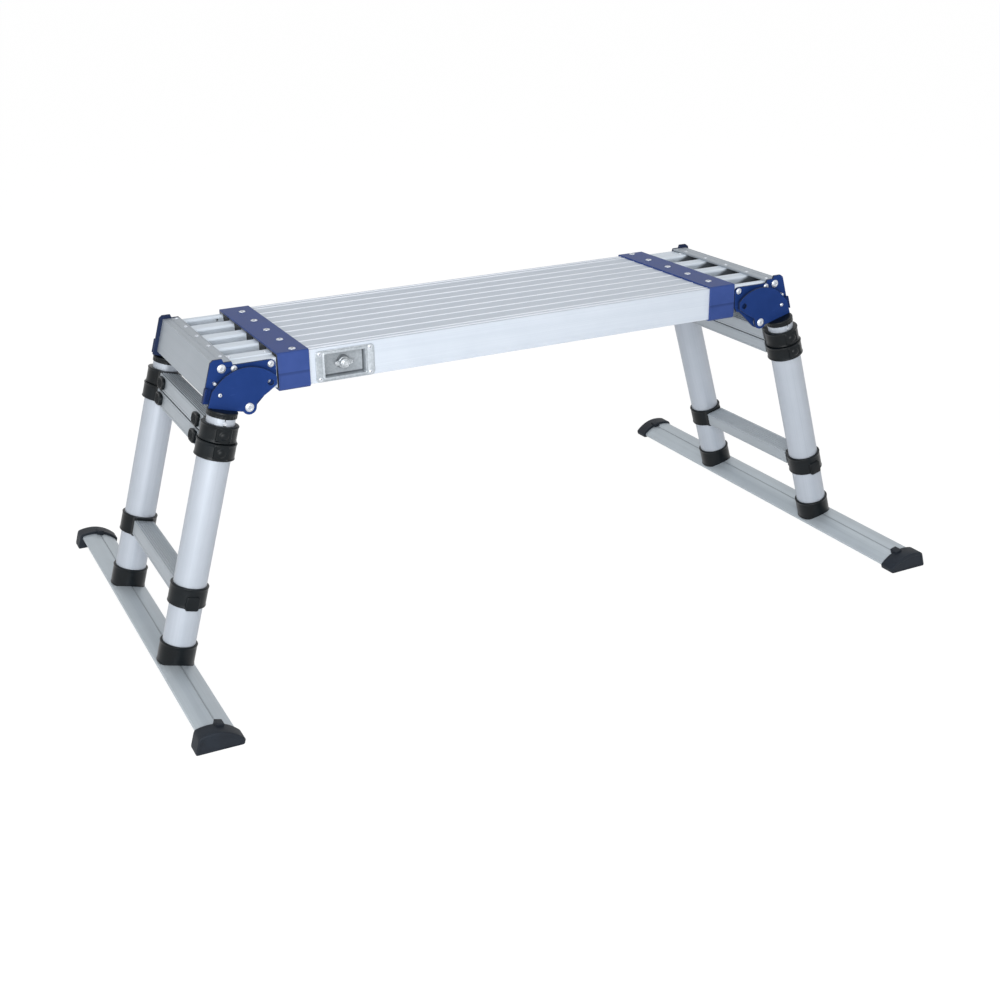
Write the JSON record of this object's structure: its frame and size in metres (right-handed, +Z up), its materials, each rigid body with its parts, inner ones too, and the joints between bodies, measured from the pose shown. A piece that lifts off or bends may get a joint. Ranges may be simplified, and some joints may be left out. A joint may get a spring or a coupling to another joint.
{
  "type": "extendable work platform",
  "caption": "Low folding work platform: a ribbed metal deck whose ends slide out on slats, on telescopic leg frames that splay from pivots and fold under the deck.",
  "frame": {"origin": "on the floor, midway between the four feet, below the middle of the deck", "axes": "+X along the platform's length, +Y towards its back, +Z up"},
  "size_m": [1.3204, 0.822, 0.4873],
  "materials": {
    "deck": "extruded, satin anodised, fine lengthwise grip ridges",
    "collar": "blue powder coat, satin",
    "plate": "dark blue powder coat, satin",
    "lever": "dark blue powder coat, satin",
    "end_frame": "extruded, satin",
    "slat": "extruded, satin",
    "tube": "drawn tube, satin anodised",
    "rung": "extruded, ribbed tread, satin",
    "foot_bar": "extruded, satin grey",
    "rivet": "plated, smooth domed heads",
    "lock_plate": "pressed sheet, satin",
    "black": "moulded, fine grained",
    "latch": "moulded, fine grained",
    "rubber": "moulded, matt"
  },
  "bodies": {
    "root": {"deck_planks": "deck", "edge_planks": "deck", "deck_collars": "collar", "deck_rivets": "rivet", "guide_blocks": "black", "lock_housings": "lock_plate"},
    "lock_left": {"lock_pin_left": "rivet"},
    "wing_left": {"lock_wing_left": "lock_plate"},
    "end_left": {"slats_left": "slat", "side_rail_left": "slat", "end_frame_left": "end_frame", "side_plates_left": "plate", "end_rivets_left": "rivet", "pivot_pins_left": "rivet"},
    "leg_top_left": {"leg_plates_left": "plate", "leg_caps_left": "black", "top_tubes_left": "tube"},
    "leg_mid_left": {"mid_tubes_left": "tube", "mid_collars_left": "black", "mid_rung_left": "rung"},
    "leg_low_left": {"low_tubes_left": "tube", "low_collars_left": "black", "low_rung_left": "rung", "base_fittings_left": "black", "base_rung_left": "rung", "foot_bar_left": "foot_bar", "foot_caps_left": "rubber"},
    "mid_latch_front_left": {"mid_latch_front_left": "latch"},
    "low_latch_front_left": {"low_latch_front_left": "latch"},
    "fold_lever_front_left": {"fold_lever_front_left": "lever"},
    "mid_latch_back_left": {"mid_latch_back_left": "latch"},
    "low_latch_back_left": {"low_latch_back_left": "latch"},
    "fold_lever_back_left": {"fold_lever_back_left": "lever"},
    "lock_right": {"lock_pin_right": "rivet"},
    "wing_right": {"lock_wing_right": "lock_plate"},
    "end_right": {"slats_right": "slat", "side_rail_right": "slat", "end_frame_right": "end_frame", "side_plates_right": "plate", "end_rivets_right": "rivet", "pivot_pins_right": "rivet"},
    "leg_top_right": {"leg_plates_right": "plate", "leg_caps_right": "black", "top_tubes_right": "tube"},
    "leg_mid_right": {"mid_tubes_right": "tube", "mid_collars_right": "black", "mid_rung_right": "rung"},
    "leg_low_right": {"low_tubes_right": "tube", "low_collars_right": "black", "low_rung_right": "rung", "base_fittings_right": "black", "base_rung_right": "rung", "foot_bar_right": "foot_bar", "foot_caps_right": "rubber"},
    "mid_latch_front_right": {"mid_latch_front_right": "latch"},
    "low_latch_front_right": {"low_latch_front_right": "latch"},
    "fold_lever_front_right": {"fold_lever_front_right": "lever"},
    "mid_latch_back_right": {"mid_latch_back_right": "latch"},
    "low_latch_back_right": {"low_latch_back_right": "latch"},
    "fold_lever_back_right": {"fold_lever_back_right": "lever"}
  },
  "joints": [
    {"name": "deck_extend_left", "type": "slide", "parent": "root", "child": "end_left", "axis": [-1, 0, 0], "range_m": [0, 0.26]},
    {"name": "lock_pull_left", "type": "slide", "parent": "root", "child": "lock_left", "axis": [0, -1, 0], "range_m": [-0.005, 0.003], "stiffness_N_per_m": 800},
    {"name": "lock_turn_left", "type": "hinge", "parent": "lock_left", "child": "wing_left", "pos_m": [-0.3075, -0.1433, 0.451], "axis": [0, -1, 0], "range_deg": [0, 90]},
    {"name": "leg_fold_left", "type": "hinge", "parent": "end_left", "child": "leg_top_left", "pos_m": [-0.468, 0, 0.4095], "axis": [0, -1, 0], "range_deg": [0, 105.6]},
    {"name": "leg_upper_extend_left", "type": "slide", "parent": "leg_top_left", "child": "leg_mid_left", "axis": [-0.2689, 0, -0.9632], "range_m": [0, 0.135]},
    {"name": "leg_lower_extend_left", "type": "slide", "parent": "leg_mid_left", "child": "leg_low_left", "axis": [-0.2689, 0, -0.9632], "range_m": [0, 0.135]},
    {"name": "mid_latch_slide_front_left", "type": "slide", "parent": "leg_mid_left", "child": "mid_latch_front_left", "axis": [0, 1, 0], "range_m": [-0.005, 0.003], "stiffness_N_per_m": 600},
    {"name": "low_latch_slide_front_left", "type": "slide", "parent": "leg_low_left", "child": "low_latch_front_left", "axis": [0, 1, 0], "range_m": [-0.005, 0.003], "stiffness_N_per_m": 600},
    {"name": "fold_lever_press_front_left", "type": "hinge", "parent": "leg_top_left", "child": "fold_lever_front_left", "pos_m": [-0.5117, -0.1516, 0.4353], "axis": [0, 1, 0], "range_deg": [-3, 12], "stiffness_Nm_per_rad": 1},
    {"name": "mid_latch_slide_back_left", "type": "slide", "parent": "leg_mid_left", "child": "mid_latch_back_left", "axis": [0, -1, 0], "range_m": [-0.005, 0.003], "stiffness_N_per_m": 600},
    {"name": "low_latch_slide_back_left", "type": "slide", "parent": "leg_low_left", "child": "low_latch_back_left", "axis": [0, -1, 0], "range_m": [-0.005, 0.003], "stiffness_N_per_m": 600},
    {"name": "fold_lever_press_back_left", "type": "hinge", "parent": "leg_top_left", "child": "fold_lever_back_left", "pos_m": [-0.5117, 0.1516, 0.4353], "axis": [0, 1, 0], "range_deg": [-3, 12], "stiffness_Nm_per_rad": 1},
    {"name": "deck_extend_right", "type": "slide", "parent": "root", "child": "end_right", "axis": [1, 0, 0], "range_m": [0, 0.26]},
    {"name": "lock_pull_right", "type": "slide", "parent": "root", "child": "lock_right", "axis": [0, 1, 0], "range_m": [-0.005, 0.003], "stiffness_N_per_m": 800},
    {"name": "lock_turn_right", "type": "hinge", "parent": "lock_right", "child": "wing_right", "pos_m": [0.3075, 0.1433, 0.451], "axis": [0, 1, 0], "range_deg": [0, 90]},
    {"name": "leg_fold_right", "type": "hinge", "parent": "end_right", "child": "leg_top_right", "pos_m": [0.468, 0, 0.4095], "axis": [0, 1, 0], "range_deg": [0, 105.6]},
    {"name": "leg_upper_extend_right", "type": "slide", "parent": "leg_top_right", "child": "leg_mid_right", "axis": [0.2689, 0, -0.9632], "range_m": [0, 0.135]},
    {"name": "leg_lower_extend_right", "type": "slide", "parent": "leg_mid_right", "child": "leg_low_right", "axis": [0.2689, 0, -0.9632], "range_m": [0, 0.135]},
    {"name": "mid_latch_slide_front_right", "type": "slide", "parent": "leg_mid_right", "child": "mid_latch_front_right", "axis": [0, 1, 0], "range_m": [-0.005, 0.003], "stiffness_N_per_m": 600},
    {"name": "low_latch_slide_front_right", "type": "slide", "parent": "leg_low_right", "child": "low_latch_front_right", "axis": [0, 1, 0], "range_m": [-0.005, 0.003], "stiffness_N_per_m": 600},
    {"name": "fold_lever_press_front_right", "type": "hinge", "parent": "leg_top_right", "child": "fold_lever_front_right", "pos_m": [0.5117, -0.1516, 0.4353], "axis": [0, -1, 0], "range_deg": [-3, 12], "stiffness_Nm_per_rad": 1},
    {"name": "mid_latch_slide_back_right", "type": "slide", "parent": "leg_mid_right", "child": "mid_latch_back_right", "axis": [0, -1, 0], "range_m": [-0.005, 0.003], "stiffness_N_per_m": 600},
    {"name": "low_latch_slide_back_right", "type": "slide", "parent": "leg_low_right", "child": "low_latch_back_right", "axis": [0, -1, 0], "range_m": [-0.005, 0.003], "stiffness_N_per_m": 600},
    {"name": "fold_lever_press_back_right", "type": "hinge", "parent": "leg_top_right", "child": "fold_lever_back_right", "pos_m": [0.5117, 0.1516, 0.4353], "axis": [0, -1, 0], "range_deg": [-3, 12], "stiffness_Nm_per_rad": 1}
  ]
}
